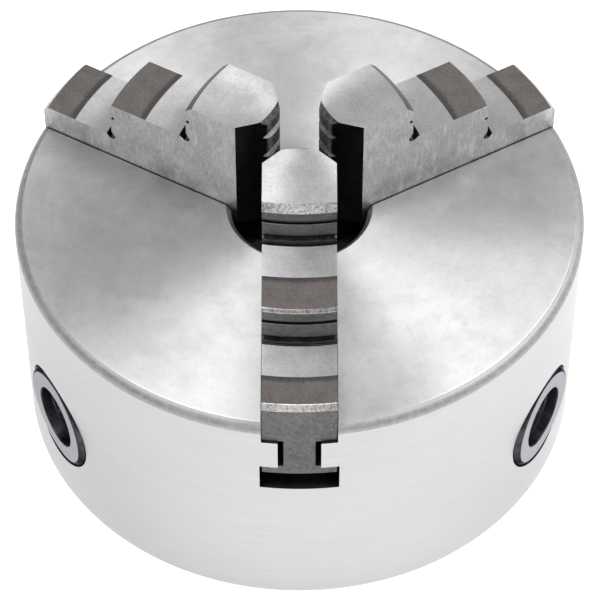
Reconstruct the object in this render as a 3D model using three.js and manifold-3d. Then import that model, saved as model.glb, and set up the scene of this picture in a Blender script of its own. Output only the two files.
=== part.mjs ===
// Three-jaw self-centring scroll chuck, 125 mm, with one-piece stepped jaws.
// Millimetres, +Z along the spindle axis towards the workpiece, origin on the axis in the rear face.
// Jaw 1 points along -Y, and the key pinions sit midway between the jaws.
// The jaws stand part-way in: the tips are on a circle of about 14 mm.
import * as THREE from "three";
import { mergeVertices } from "three/addons/utils/BufferGeometryUtils.js";
import Module from "manifold-3d";

const wasm = await Module();
wasm.setup();

// ---------------------------------------------------------------- driving dimensions
const JAW_ANGLES = [-90, 30, 150]; // degrees about Z
const PINION_ANGLES = [90, 210, 330];

const BODY_R = 62.5; // 125 mm body
const BODY_H = 58;
const RIM_ROUND = 2; // round on the front outer edge
const BORE_R = 15; // 30 mm through bore
const BORE_CHAMFER = 1;
const REGISTER_R = 47.5; // 95 mm rear register
const REGISTER_DEPTH = 4;
const COVER_SEAT_Z = 12;
const CAVITY_R = 45; // scroll cavity
const CAVITY_TOP = 42.6;
const HUB_R = 22; // spigot that the scroll turns on
const BODY_SEGMENTS = 72;

const SLOT_W = 16.0; // jaw slot at the front face
const SLOT_LEDGE_Z = 53.3;
const SLOT_NECK_W = 9.1;
const SLOT_LIP_Z = 45.1;
const SLOT_LOW_W = 16.8;
const SLOT_FLOOR_Z = 37.9;

const BOLT_CIRCLE_R = 54; // three M8 holes on 108 mm
const BOLT_R = 4;
const BOLT_DEPTH = 16;

const PINION_Z = 22.5; // height of the pinion axes
const PINION_R = 12.1; // journal
const PINION_BORE_R = 12.35;
const PINION_SEGMENTS = 30;
const PINION_FACE = 62.8; // outer face, just proud of the body
const PINION_SHOULDER = 49; // where the bore narrows to the throat
const THROAT_R = 9.3;
const KEY_SQUARE = 8;
const KEY_DEPTH = 13;
const KEY_LEAD_R = 6.9;
const KEY_LEAD_DEPTH = 2.6;
const GROOVE_IN = 54.2; // retaining groove round the journal
const GROOVE_OUT = 57.8;
const GROOVE_R = 9.6;

const CROWN_TEETH = 60;
const PINION_TEETH = 10;
const MESH_R = 44; // outer end of the gear faces
const MESH_IN = 36.8;
const PITCH_RISE = PINION_TEETH / CROWN_TEETH; // tangent of the pitch cone
const ADDENDUM = 1.15;
const DEDENDUM = 1.65;
const CROWN_TOOTH = 1.95; // thickness at the pitch line

const SCROLL_R = 44.6;
const SCROLL_BORE_R = 22.3;
const SCROLL_HUB_R = 28.5;
const SCROLL_REAR = 12.3;
const SCROLL_CREST = 42.1;
const SCROLL_ROOT = 37.7;
const SCROLL_PITCH = 6;
const SCROLL_GROOVE = 3.4; // groove width; the thread is the rest of the pitch
const SCROLL_STEPS = 36; // facets in one turn
const SCROLL_START = 24; // groove radius on the +X axis, modulo the pitch

const JAW_W = 15.7;
const JAW_END_R = 61.9;
const JAW_BLOCK_Z = 53.45; // underside of the block, over the slot ledge
const JAW_NECK_W = 6.8;
const JAW_FLANGE_W = 15.9;
const JAW_FLANGE_TOP = 45.0;
const JAW_FLANGE_Z = 42.4;
const JAW_TOOTH_Z = 38.3;
const JAW_TOOTH = 2.35; // tooth thickness on the centre line
const JAW_TOOTH_FIRST = 14;
const JAW_TOOTH_LAST = 57.5;
const JAW_SEGMENTS = 96;

const COVER_R = 47.2;
const COVER_BORE_R = 15.6;
const COVER_FRONT_Z = 11.8;
const COVER_SCREWS = 6;
const COVER_SCREW_CIRCLE = 18.9;

const RETAINER_CIRCLE = 56;
const RETAINER_R = 2.5; // hole for the pin and its screw

// ---------------------------------------------------------------- helpers
const rad = (d) => (d * Math.PI) / 180;

// A closed geometry as a solid, with its faces turned outwards.
function solid(geometry) {
  const g = geometry.clone();
  g.deleteAttribute("normal");
  g.deleteAttribute("uv");
  const m = mergeVertices(g, 1e-4);
  const pos = m.attributes.position.array;
  const tris = [];
  let volume = 0;
  const a = new THREE.Vector3(),
    b = new THREE.Vector3(),
    c = new THREE.Vector3();
  for (let i = 0; i < m.index.count; i += 3) {
    const [p, q, r] = [m.index.array[i], m.index.array[i + 1], m.index.array[i + 2]];
    if (p === q || q === r || r === p) continue;
    a.fromArray(pos, p * 3);
    b.fromArray(pos, q * 3);
    c.fromArray(pos, r * 3);
    volume += a.dot(b.cross(c));
    tris.push(p, q, r);
  }
  if (volume < 0)
    for (let i = 0; i < tris.length; i += 3)
      [tris[i + 1], tris[i + 2]] = [tris[i + 2], tris[i + 1]];
  return new wasm.Manifold(
    new wasm.Mesh({
      numProp: 3,
      vertProperties: new Float32Array(pos),
      triVerts: new Uint32Array(tris),
    }),
  );
}

function geometryOf(manifold) {
  const m = manifold.getMesh();
  const g = new THREE.BufferGeometry();
  const v = new Float32Array(m.numVert * 3);
  for (let i = 0; i < m.numVert; i++)
    v.set(m.vertProperties.subarray(i * m.numProp, i * m.numProp + 3), i * 3);
  g.setAttribute("position", new THREE.BufferAttribute(v, 3));
  g.setIndex(new THREE.BufferAttribute(new Uint32Array(m.triVerts), 1));
  return g;
}

// A closed (radius, z) profile turned about Z.
function turned(profile, segments) {
  const pts = profile.map(([r, z]) => new THREE.Vector2(r, z));
  pts.push(pts[0].clone());
  return new THREE.LatheGeometry(pts, segments).rotateX(Math.PI / 2);
}

// A closed (radius, x) profile turned about the X axis at height z.
const turnedX = (profile, segments, z) =>
  turned(profile, segments).rotateY(Math.PI / 2).translate(0, 0, z);

// An outline in the XY plane raised from z0 to z1.
function raised(points, z0, z1) {
  const shape = new THREE.Shape(points.map(([x, y]) => new THREE.Vector2(x, y)));
  return new THREE.ExtrudeGeometry(shape, {
    depth: z1 - z0,
    bevelEnabled: false,
    steps: 1,
  }).translate(0, 0, z0);
}

// A bar whose outline changes from low at z0 to high at z1; both lists run alike.
function lofted(low, high, z0, z1) {
  const g = raised(low, z0, z1);
  const p = g.getAttribute("position");
  for (let i = 0; i < p.count; i++) {
    if (p.getZ(i) < z1 - 1e-6) continue;
    const k = low.findIndex(
      ([x, y]) => Math.abs(x - p.getX(i)) < 1e-4 && Math.abs(y - p.getY(i)) < 1e-4,
    );
    p.setXY(i, high[k][0], high[k][1]);
  }
  return g;
}

const block = (x0, x1, y0, y1, z0, z1) =>
  new THREE.BoxGeometry(x1 - x0, y1 - y0, z1 - z0).translate(
    (x0 + x1) / 2,
    (y0 + y1) / 2,
    (z0 + z1) / 2,
  );

// A round bar along Z.
const bar = (r, z0, z1, x, y, segments, rTop = r) =>
  new THREE.CylinderGeometry(rTop, r, z1 - z0, segments)
    .rotateX(Math.PI / 2)
    .translate(x, y, (z0 + z1) / 2);

function material(color, roughness, metalness) {
  return new THREE.MeshStandardMaterial({ color, roughness, metalness });
}

const chuck = new THREE.Group();
function node(name, geometry, mat) {
  const mesh = new THREE.Mesh(geometry, mat);
  mesh.name = name;
  chuck.add(mesh);
  return mesh;
}

// ---------------------------------------------------------------- body
{
  const rim = [];
  for (let i = 0; i <= 4; i++) {
    const a = (i / 4) * (Math.PI / 2);
    rim.push([
      BODY_R - RIM_ROUND + RIM_ROUND * Math.cos(a),
      BODY_H - RIM_ROUND + RIM_ROUND * Math.sin(a),
    ]);
  }
  let body = solid(
    turned(
      [
        [BORE_R, COVER_SEAT_Z],
        [HUB_R, COVER_SEAT_Z],
        [HUB_R, CAVITY_TOP],
        [CAVITY_R, CAVITY_TOP],
        [CAVITY_R, COVER_SEAT_Z],
        [REGISTER_R, COVER_SEAT_Z],
        [REGISTER_R, 0.5],
        [REGISTER_R + 0.5, 0],
        [BODY_R - 0.4, 0],
        [BODY_R, 0.4],
        ...rim,
        [BORE_R + BORE_CHAMFER, BODY_H],
        [BORE_R, BODY_H - BORE_CHAMFER],
      ],
      BODY_SEGMENTS,
    ),
  );
  let cut = null;
  const add = (g) => {
    const s = solid(g);
    cut = cut ? cut.add(s) : s;
  };
  // T-slots for the jaws, open to the bore and the rim
  for (const angle of JAW_ANGLES) {
    const half = [SLOT_W / 2, SLOT_NECK_W / 2, SLOT_LOW_W / 2];
    const t = [
      [-half[0], BODY_H + 1],
      [-half[0], SLOT_LEDGE_Z],
      [-half[1], SLOT_LEDGE_Z],
      [-half[1], SLOT_LIP_Z],
      [-half[2], SLOT_LIP_Z],
      [-half[2], SLOT_FLOOR_Z],
      [half[2], SLOT_FLOOR_Z],
      [half[2], SLOT_LIP_Z],
      [half[1], SLOT_LIP_Z],
      [half[1], SLOT_LEDGE_Z],
      [half[0], SLOT_LEDGE_Z],
      [half[0], BODY_H + 1],
    ];
    // outline drawn in (y, z), then laid along +X
    const g = raised(t, 0, BODY_R + 5)
      .rotateX(Math.PI / 2)
      .rotateZ(Math.PI / 2);
    add(g.rotateZ(rad(angle)));
    const c = Math.cos(rad(angle)) * BOLT_CIRCLE_R,
      s = Math.sin(rad(angle)) * BOLT_CIRCLE_R;
    add(bar(BOLT_R, -1, BOLT_DEPTH, c, s, 24));
    add(bar(BOLT_R + 1.6, -1, 0.6, c, s, 24, BOLT_R));
  }
  // stepped bores for the pinions, and the holes that hold their pins
  for (const angle of PINION_ANGLES) {
    add(
      turnedX(
        [
          [0, 40],
          [THROAT_R, 40],
          [THROAT_R, PINION_SHOULDER],
          [PINION_BORE_R, PINION_SHOULDER],
          [PINION_BORE_R, BODY_R + 5],
          [0, BODY_R + 5],
        ],
        PINION_SEGMENTS,
        PINION_Z,
      ).rotateZ(rad(angle)),
    );
    add(
      bar(
        RETAINER_R,
        -1,
        PINION_Z - 6,
        Math.cos(rad(angle)) * RETAINER_CIRCLE,
        Math.sin(rad(angle)) * RETAINER_CIRCLE,
        20,
      ),
    );
  }
  for (let i = 0; i < COVER_SCREWS; i++) {
    const a = rad(30 + (360 / COVER_SCREWS) * i);
    add(
      bar(
        1.6,
        COVER_SEAT_Z - 1,
        COVER_SEAT_Z + 9,
        Math.cos(a) * COVER_SCREW_CIRCLE,
        Math.sin(a) * COVER_SCREW_CIRCLE,
        12,
      ),
    );
  }
  body = body.subtract(cut);
  node("chuck_body", geometryOf(body), material(0xc9cacb, 0.32, 1));
}

// ---------------------------------------------------------------- scroll plate
// Spiral groove on the front, crown teeth on the back.
const b = SCROLL_PITCH / (2 * Math.PI);
{
  const rootRise = PITCH_RISE + DEDENDUM / MESH_R;
  const tipRise = PITCH_RISE - ADDENDUM / MESH_R;
  let plate = solid(
    turned(
      [
        [SCROLL_BORE_R, SCROLL_REAR],
        [SCROLL_HUB_R, SCROLL_REAR],
        [SCROLL_HUB_R, PINION_Z + rootRise * SCROLL_HUB_R],
        [SCROLL_R, PINION_Z + rootRise * SCROLL_R],
        [SCROLL_R, SCROLL_CREST],
        [SCROLL_BORE_R, SCROLL_CREST],
      ],
      CROWN_TEETH,
    ),
  );
  // crown teeth, every flank running to the point where the two axes cross
  const tan20 = Math.tan(rad(20));
  const y0 = CROWN_TOOTH / 2 + (DEDENDUM + 0.4) * tan20,
    y1 = CROWN_TOOTH / 2 - ADDENDUM * tan20;
  let teeth = null;
  const one = (angle) => {
    const g = new THREE.BufferGeometry();
    const v = [];
    for (const r of [MESH_IN, MESH_R + 0.25]) {
      const k = r / MESH_R;
      const zRoot = PINION_Z + (rootRise + 0.4 / MESH_R) * r,
        zTip = PINION_Z + tipRise * r;
      v.push(r, -y0 * k, zRoot, r, y0 * k, zRoot, r, y1 * k, zTip, r, -y1 * k, zTip);
    }
    g.setAttribute("position", new THREE.BufferAttribute(new Float32Array(v), 3));
    g.setIndex([
      0, 1, 2, 0, 2, 3, 4, 6, 5, 4, 7, 6, 0, 5, 1, 0, 4, 5, 1, 6, 2, 1, 5, 6, 2, 7,
      3, 2, 6, 7, 3, 4, 0, 3, 7, 4,
    ]);
    return g.rotateZ(angle);
  };
  // a gap between two teeth faces each pinion
  for (let i = 0; i < CROWN_TEETH; i++) {
    const s = solid(one(rad(90) + ((i + 0.5) * 2 * Math.PI) / CROWN_TEETH));
    teeth = teeth ? teeth.add(s) : s;
  }
  plate = plate.add(teeth);
  // spiral groove: radius grows by one pitch in a turn anticlockwise
  const half = SCROLL_GROOVE / 2;
  const from = Math.floor(((SCROLL_BORE_R - half - 0.4 - SCROLL_START) / SCROLL_PITCH) * SCROLL_STEPS);
  const to = Math.ceil(((SCROLL_R + half + 0.4 - SCROLL_START) / SCROLL_PITCH) * SCROLL_STEPS);
  const v = [],
    index = [];
  for (let i = from; i <= to; i++) {
    const a = (i / SCROLL_STEPS) * 2 * Math.PI,
      r = SCROLL_START + b * a,
      c = Math.cos(a),
      s = Math.sin(a);
    for (const [rr, z] of [
      [r - half, SCROLL_ROOT],
      [r + half, SCROLL_ROOT],
      [r + half, SCROLL_CREST + 1],
      [r - half, SCROLL_CREST + 1],
    ])
      v.push(rr * c, rr * s, z);
  }
  const rings = to - from;
  for (let k = 0; k < rings; k++)
    for (let j = 0; j < 4; j++) {
      const p = 4 * k + j,
        q = 4 * k + ((j + 1) % 4);
      index.push(p, q, q + 4, p, q + 4, p + 4);
    }
  index.push(0, 2, 1, 0, 3, 2);
  const e = 4 * rings;
  index.push(e, e + 1, e + 2, e, e + 2, e + 3);
  const g = new THREE.BufferGeometry();
  g.setAttribute("position", new THREE.BufferAttribute(new Float32Array(v), 3));
  g.setIndex(index);
  plate = plate.subtract(solid(g));
  node("scroll_plate", geometryOf(plate), material(0x8c8d8f, 0.4, 1));
}

// ---------------------------------------------------------------- rear cover
{
  let cover = solid(
    turned(
      [
        [COVER_BORE_R, REGISTER_DEPTH],
        [COVER_R - 0.6, REGISTER_DEPTH],
        [COVER_R, REGISTER_DEPTH + 0.6],
        [COVER_R, COVER_FRONT_Z],
        [COVER_BORE_R, COVER_FRONT_Z],
      ],
      48,
    ),
  );
  for (let i = 0; i < COVER_SCREWS; i++) {
    const a = rad(30 + (360 / COVER_SCREWS) * i);
    cover = cover.subtract(
      solid(
        turned(
          [
            [0, REGISTER_DEPTH - 1],
            [3.0, REGISTER_DEPTH - 1],
            [3.0, REGISTER_DEPTH + 0.15],
            [1.75, REGISTER_DEPTH + 1.4],
            [1.75, COVER_SEAT_Z + 1],
            [0, COVER_SEAT_Z + 1],
          ],
          12,
        ).translate(
          Math.cos(a) * COVER_SCREW_CIRCLE,
          Math.sin(a) * COVER_SCREW_CIRCLE,
          0,
        ),
      ),
    );
  }
  node("back_cover", geometryOf(cover), material(0x9a9b9d, 0.38, 1));
  for (let i = 0; i < COVER_SCREWS; i++) {
    const a = rad(30 + (360 / COVER_SCREWS) * i);
    const z = REGISTER_DEPTH;
    let screw = solid(
      turned(
        [
          [0, z + 0.2],
          [2.6, z + 0.2],
          [2.75, z + 0.35],
          [1.5, z + 1.55],
          [1.5, z + 15.6],
          [1.1, z + 16.1],
          [0, z + 16.1],
        ],
        12,
      ),
    );
    screw = screw.subtract(
      solid(
        new THREE.CylinderGeometry(1.15, 1.15, 2, 6)
          .rotateX(Math.PI / 2)
          .translate(0, 0, z + 0.4),
      ),
    );
    const m = node(
      "cover_screw_" + (i + 1),
      geometryOf(screw),
      material(0x3a3b3d, 0.45, 1),
    );
    m.position.set(
      Math.cos(a) * COVER_SCREW_CIRCLE,
      Math.sin(a) * COVER_SCREW_CIRCLE,
      0,
    );
  }
}

// ---------------------------------------------------------------- jaws
// The outer wall and the end are arcs about the chuck axis at this jaw position. The inner wall
// is ground to the same radius as the outer one, so its centre lies behind the axis.
const STEP1_Z = BODY_H + 25.7;
const STEP2_Z = BODY_H + 16.15;
const STEP3_Z = BODY_H + 6.6;
const WALL12_R = 24.5;
const WALL12_ARC = 44.1; // radius the inner wall is ground to
const WALL23_R = 44.1;
const JAW_TIP_X = 5.95;
const CROWN_Z = STEP1_Z - 1.1; // the gripping edge is bevelled above this height
const GRIP_Z = [78.8, 73.1, 67.4, 61.7]; // roots of the gripping grooves

const outerProfile = [
  [0, JAW_BLOCK_Z],
  [JAW_END_R, JAW_BLOCK_Z],
  [JAW_END_R, STEP3_Z - 1.2],
  [JAW_END_R - 1, STEP3_Z],
  // relief at the foot of the outer wall
  [WALL23_R + 1.2, STEP3_Z],
  [WALL23_R + 0.5, STEP3_Z - 0.6],
  [WALL23_R - 0.3, STEP3_Z - 0.6],
  [WALL23_R - 0.8, STEP3_Z],
  [WALL23_R - 0.8, STEP3_Z + 0.8],
  [WALL23_R, STEP3_Z + 1.8],
  [WALL23_R, BODY_H + 11.7],
  [WALL23_R - 0.9, BODY_H + 11.8],
  [WALL23_R - 0.9, BODY_H + 12.5],
  [WALL23_R, BODY_H + 12.9],
  [WALL23_R, STEP2_Z - 0.7],
  [WALL23_R - 0.5, STEP2_Z],
  [WALL23_R - 0.5, STEP1_Z + 1],
  [0, STEP1_Z + 1],
];

const innerProfile = [
  [0, JAW_BLOCK_Z - 1],
  [JAW_END_R + 40, JAW_BLOCK_Z - 1],
  [JAW_END_R + 40, STEP2_Z],
  // relief at the foot of the inner wall
  [WALL12_ARC + 1.5, STEP2_Z],
  [WALL12_ARC + 0.6, STEP2_Z - 0.6],
  [WALL12_ARC - 0.3, STEP2_Z - 0.6],
  [WALL12_ARC - 0.8, STEP2_Z],
  [WALL12_ARC - 0.8, STEP2_Z + 0.8],
  [WALL12_ARC, STEP2_Z + 1.6],
  [WALL12_ARC, BODY_H + 20.8],
  [WALL12_ARC - 0.9, BODY_H + 20.9],
  [WALL12_ARC - 0.9, BODY_H + 21.7],
  [WALL12_ARC, BODY_H + 22.2],
  [WALL12_ARC, BODY_H + 24.25],
  [WALL12_ARC - 1.5, STEP1_Z],
  [0, STEP1_Z],
];

const NOSE = [
  [JAW_TIP_X, 0],
  [JAW_TIP_X + 0.11, 1.6],
  [JAW_TIP_X + 0.5, 2.78],
  [JAW_TIP_X + 5.38, 7.85],
];
const NOSE_TOP = [
  [JAW_TIP_X + 1.15, 0],
  [JAW_TIP_X + 1.27, 2.1],
  [JAW_TIP_X + 1.8, 4.13],
  [JAW_TIP_X + 5.38, 7.85],
];

// Plan outline of a jaw of the given width: a blunt nose, then straight sides.
function plan(width, set = 0, outline = NOSE) {
  const w = width / 2;
  const nose = outline.map(([x, y]) => [x + set, y]);
  const pts = [];
  for (const [x, y] of nose) if (y < w) pts.push([x, y]);
  if (w > 7.85) pts.push([nose[3][0] + (w - 7.85), w]);
  else {
    // where the straight side of a narrower bar meets the nose
    for (let i = 0; i < 3; i++) {
      const [xa, ya] = nose[i],
        [xb, yb] = nose[i + 1];
      if (ya < w && yb >= w) pts.push([xa + ((xb - xa) * (w - ya)) / (yb - ya), w]);
    }
  }
  const right = [...pts, [JAW_END_R + 4, w]];
  const left = right
    .filter(([, y]) => y > 0)
    .map(([x, y]) => [x, -y])
    .reverse();
  return [...right, ...left];
}

const endRound = (z0, z1) =>
  solid(
    turned(
      [
        [0, z0],
        [JAW_END_R, z0],
        [JAW_END_R, z1],
        [0, z1],
      ],
      JAW_SEGMENTS,
    ),
  );

JAW_ANGLES.forEach((angle, i) => {
  let jaw = solid(raised(plan(JAW_W), JAW_BLOCK_Z - 1, CROWN_Z + 0.02))
    .add(solid(lofted(plan(JAW_W), plan(JAW_W, 0, NOSE_TOP), CROWN_Z, STEP1_Z)))
    .intersect(solid(turned(outerProfile, JAW_SEGMENTS)))
    .intersect(
      solid(turned(innerProfile, JAW_SEGMENTS)).translate([WALL12_R - WALL12_ARC, 0, 0]),
    );
  // V-shaped gripping grooves across the nose, drawn on their side
  for (const z of GRIP_Z)
    jaw = jaw.subtract(
      solid(
        raised(
          [
            [JAW_TIP_X - 1, z - 1.33],
            [JAW_TIP_X + 1.15, z],
            [JAW_TIP_X - 1, z + 2.7],
          ],
          -12,
          12,
        ),
      ).rotate([90, 0, 0]),
    );
  const neck = solid(
    raised(plan(JAW_NECK_W, 0.3), JAW_FLANGE_TOP - 0.5, JAW_BLOCK_Z + 0.5),
  );
  const flange = solid(raised(plan(JAW_FLANGE_W, 0.6), JAW_FLANGE_Z, JAW_FLANGE_TOP));
  jaw = jaw.add(
    neck.add(flange).intersect(endRound(JAW_FLANGE_Z - 1, JAW_BLOCK_Z + 2)),
  );
  // teeth: arcs whose centre is set over by b, so that they lie along the spiral
  const phase = SCROLL_START + b * rad(angle);
  const first = Math.ceil((JAW_TOOTH_FIRST - phase) / SCROLL_PITCH);
  const w = JAW_FLANGE_W / 2;
  const outerR = 23,
    innerR = 45;
  let teeth = null;
  for (let k = first; ; k++) {
    const r = phase + k * SCROLL_PITCH;
    if (r > JAW_TOOTH_LAST) break;
    const pts = [];
    const n = 5;
    for (let j = 0; j <= n; j++) {
      const y = -w + (2 * w * j) / n;
      const x = r + JAW_TOOTH / 2 - outerR + Math.sqrt(outerR ** 2 - (y - b) ** 2);
      pts.push([x, y]);
    }
    for (let j = n; j >= 0; j--) {
      const y = -w + (2 * w * j) / n;
      const x = r - JAW_TOOTH / 2 - innerR + Math.sqrt(innerR ** 2 - (y - b) ** 2);
      pts.push([x, y]);
    }
    const s = solid(raised(pts, JAW_TOOTH_Z, JAW_FLANGE_Z + 0.6));
    teeth = teeth ? teeth.add(s) : s;
  }
  const under = solid(raised(plan(JAW_FLANGE_W, 0.6), JAW_TOOTH_Z - 1, JAW_FLANGE_TOP));
  jaw = jaw.add(teeth.intersect(under));
  const m = node("jaw_" + (i + 1), geometryOf(jaw), material(0xa3a3a4, 0.35, 1));
  m.rotation.z = rad(angle);
});

// ---------------------------------------------------------------- pinions
{
  const pitchR = MESH_R * PITCH_RISE,
    tipR = pitchR + ADDENDUM,
    rootR = pitchR - DEDENDUM;
  // half tooth, from root to tip: [radius, half angle]
  const halfTooth = [
    [rootR, 0.135],
    [pitchR, 0.122],
    [7.95, 0.084],
    [tipR, 0.045],
  ];
  const outline = [];
  for (let k = 0; k < PINION_TEETH; k++) {
    const a = Math.PI / 2 - (k * 2 * Math.PI) / PINION_TEETH;
    for (const [r, h] of halfTooth)
      outline.push([r * Math.cos(a + h), r * Math.sin(a + h)]);
    for (const [r, h] of [...halfTooth].reverse())
      outline.push([r * Math.cos(a - h), r * Math.sin(a - h)]);
  }
  // drawn in (y, z), tapering to the chuck axis
  const tapered = (r0, r1) => {
    const shape = new THREE.Shape(outline.map(([y, z]) => new THREE.Vector2(y, z)));
    const g = new THREE.ExtrudeGeometry(shape, {
      depth: r1 - r0,
      bevelEnabled: false,
      steps: 1,
    });
    const p = g.attributes.position;
    for (let i = 0; i < p.count; i++) {
      const x = r0 + p.getZ(i),
        k = x / MESH_R;
      p.setXYZ(i, x, p.getX(i) * k, p.getY(i) * k);
    }
    return g;
  };
  PINION_ANGLES.forEach((angle, i) => {
    let pinion = solid(
      turnedX(
        [
          [0, MESH_R - 0.3],
          [THROAT_R - 0.4, MESH_R + 0.5],
          [THROAT_R - 0.4, PINION_SHOULDER + 0.2],
          [PINION_R, PINION_SHOULDER + 0.2],
          [PINION_R, GROOVE_IN],
          [GROOVE_R, GROOVE_IN],
          [GROOVE_R, GROOVE_OUT],
          [PINION_R, GROOVE_OUT],
          [PINION_R, PINION_FACE - 1.4],
          [PINION_R - 0.35, PINION_FACE - 0.7],
          [PINION_R - 1.1, PINION_FACE - 0.3],
          [PINION_R - 1.2, PINION_FACE],
          [0, PINION_FACE],
        ],
        PINION_SEGMENTS,
        0,
      ),
    );
    pinion = pinion.add(solid(tapered(MESH_IN, MESH_R + 0.1)));
    const s = KEY_SQUARE / 2;
    const socket = solid(
      turnedX(
        [
          [0, PINION_FACE - KEY_LEAD_DEPTH],
          [KEY_LEAD_R, PINION_FACE - KEY_LEAD_DEPTH],
          [KEY_LEAD_R, PINION_FACE - 0.5],
          [KEY_LEAD_R + 0.5, PINION_FACE],
          [KEY_LEAD_R + 0.5, PINION_FACE + 1],
          [0, PINION_FACE + 1],
        ],
        24,
        0,
      ),
    ).add(solid(block(PINION_FACE - KEY_DEPTH, PINION_FACE + 1, -s, s, -s, s)));
    pinion = pinion.subtract(socket);
    const m = node(
      "pinion_" + (i + 1),
      geometryOf(pinion),
      material(0xa9a8b0, 0.4, 1),
    );
    m.position.z = PINION_Z;
    m.rotation.z = rad(angle);
  });
}

// ---------------------------------------------------------------- pinion retainers
// A dog pin stands in the pinion's groove, and a grub screw behind it closes the hole.
PINION_ANGLES.forEach((angle, i) => {
  const x = Math.cos(rad(angle)) * RETAINER_CIRCLE,
    y = Math.sin(rad(angle)) * RETAINER_CIRCLE;
  const pin = node(
    "retaining_pin_" + (i + 1),
    geometryOf(
      solid(
        turned(
          [
            [0, 5.6],
            [2.0, 5.6],
            [2.35, 5.95],
            [2.35, 9.6],
            [1.5, 10.2],
            [1.5, 12.2],
            [1.2, 12.5],
            [0, 12.5],
          ],
          12,
        ),
      ),
    ),
    material(0x6d6e70, 0.4, 1),
  );
  pin.position.set(x, y, 0);
  let screw = solid(
    turned(
      [
        [0, 0.6],
        [1.95, 0.6],
        [2.35, 1.0],
        [2.35, 4.9],
        [1.95, 5.3],
        [0, 5.3],
      ],
      12,
    ),
  );
  screw = screw.subtract(
    solid(
      new THREE.CylinderGeometry(1.35, 1.35, 3.6, 6)
        .rotateX(Math.PI / 2)
        .translate(0, 0, 1.2),
    ),
  );
  const m = node(
    "retaining_screw_" + (i + 1),
    geometryOf(screw),
    material(0x303133, 0.5, 1),
  );
  m.position.set(x, y, 0);
});

export default chuck;
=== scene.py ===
import bpy, bmesh, math
from mathutils import Vector, Matrix


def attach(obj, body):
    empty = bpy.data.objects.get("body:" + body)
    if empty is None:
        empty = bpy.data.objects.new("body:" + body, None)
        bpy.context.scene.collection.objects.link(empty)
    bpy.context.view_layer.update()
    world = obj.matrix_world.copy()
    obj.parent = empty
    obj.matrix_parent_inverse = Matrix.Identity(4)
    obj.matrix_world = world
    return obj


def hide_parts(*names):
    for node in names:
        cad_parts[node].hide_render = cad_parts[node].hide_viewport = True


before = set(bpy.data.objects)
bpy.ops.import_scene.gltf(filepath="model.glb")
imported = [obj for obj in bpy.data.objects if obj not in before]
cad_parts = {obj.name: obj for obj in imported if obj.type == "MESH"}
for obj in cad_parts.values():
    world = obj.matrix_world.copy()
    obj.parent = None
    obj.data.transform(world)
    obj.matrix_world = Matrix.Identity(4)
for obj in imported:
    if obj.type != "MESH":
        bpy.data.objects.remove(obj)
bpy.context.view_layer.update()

scene = bpy.context.scene
MM = 0.001

# ------------------------------------------------------------------ sizes, in millimetres
JAW_ANGLES = [-90, 30, 150]
PINION_ANGLES = [90, 210, 330]
BODY_R, BODY_H, RIM_ROUND = 62.5, 58.0, 2.0
BORE_R = 15.0
REGISTER_R, REGISTER_DEPTH = 47.5, 4.0
COVER_SEAT_Z, CAVITY_R, CAVITY_TOP, HUB_R = 12.0, 45.0, 42.6, 22.0
SLOT_W, SLOT_LEDGE, SLOT_NECK, SLOT_LIP, SLOT_LOW, SLOT_FLOOR = 16.0, 53.3, 9.1, 45.1, 16.8, 37.9
PINION_Z, PINION_R, PINION_BORE, PINION_FACE = 22.5, 12.1, 12.35, 62.8
STEP1, STEP2, STEP3 = 83.7, 74.15, 64.6
WALL12, WALL23, JAW_END = 24.5, 44.1, 61.9
TIP = 6.93
JAW_BLOCK, JAW_W, NECK_W, FLANGE_W = 53.45, 15.7, 6.8, 15.9
FLANGE_TOP, FLANGE_Z, TOOTH_Z = 45.0, 42.4, 38.3
PITCH, SCROLL_START = 6.0, 24.0

rad = math.radians


# ------------------------------------------------------------------ mesh helpers
def make(name, verts, faces):
    me = bpy.data.meshes.new(name)
    me.from_pydata([tuple(v) for v in verts], [], faces)
    me.update()
    o = bpy.data.objects.new(name, me)
    scene.collection.objects.link(o)
    return o


def fix(o):
    bm = bmesh.new()
    bm.from_mesh(o.data)
    bmesh.ops.remove_doubles(bm, verts=bm.verts, dist=1e-5)
    bmesh.ops.recalc_face_normals(bm, faces=bm.faces)
    bm.to_mesh(o.data)
    bm.free()
    return o


def lathe(name, profile, segs, axis="Z", phase=0.0):
    """A closed (r, z) profile turned about Z, or about X when axis is X."""
    verts, faces, rings = [], [], []
    for r, z in profile:
        if r < 1e-9:
            rings.append([len(verts)] * segs)
            verts.append((0, 0, z))
        else:
            ring = []
            for i in range(segs):
                a = phase + 2 * math.pi * i / segs
                ring.append(len(verts))
                verts.append((r * math.cos(a), r * math.sin(a), z))
            rings.append(ring)
    n = len(profile)
    for k in range(n):
        a, b = rings[k], rings[(k + 1) % n]
        if a[0] == a[1] and b[0] == b[1]:
            continue
        for i in range(segs):
            j = (i + 1) % segs
            f = []
            for v in (a[i], a[j], b[j], b[i]):
                if v not in f:
                    f.append(v)
            if len(f) > 2:
                faces.append(f)
    o = fix(make(name, verts, faces))
    if axis == "X":
        o.data.transform(Matrix(((0, 0, 1, 0), (1, 0, 0, 0), (0, 1, 0, 0), (0, 0, 0, 1))))
    return o


def prism(name, pts, z0, z1):
    n = len(pts)
    verts = [(x, y, z0) for x, y in pts] + [(x, y, z1) for x, y in pts]
    faces = [list(range(n))[::-1], [n + i for i in range(n)]]
    faces += [[i, (i + 1) % n, n + (i + 1) % n, n + i] for i in range(n)]
    return fix(make(name, verts, faces))


def prism_x(name, pts, x0, x1):
    """An outline in (y, z) drawn along X."""
    n = len(pts)
    verts = [(x0, y, z) for y, z in pts] + [(x1, y, z) for y, z in pts]
    faces = [list(range(n)), [n + i for i in range(n)][::-1]]
    faces += [[i, n + i, n + (i + 1) % n, (i + 1) % n] for i in range(n)]
    return fix(make(name, verts, faces))


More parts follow.
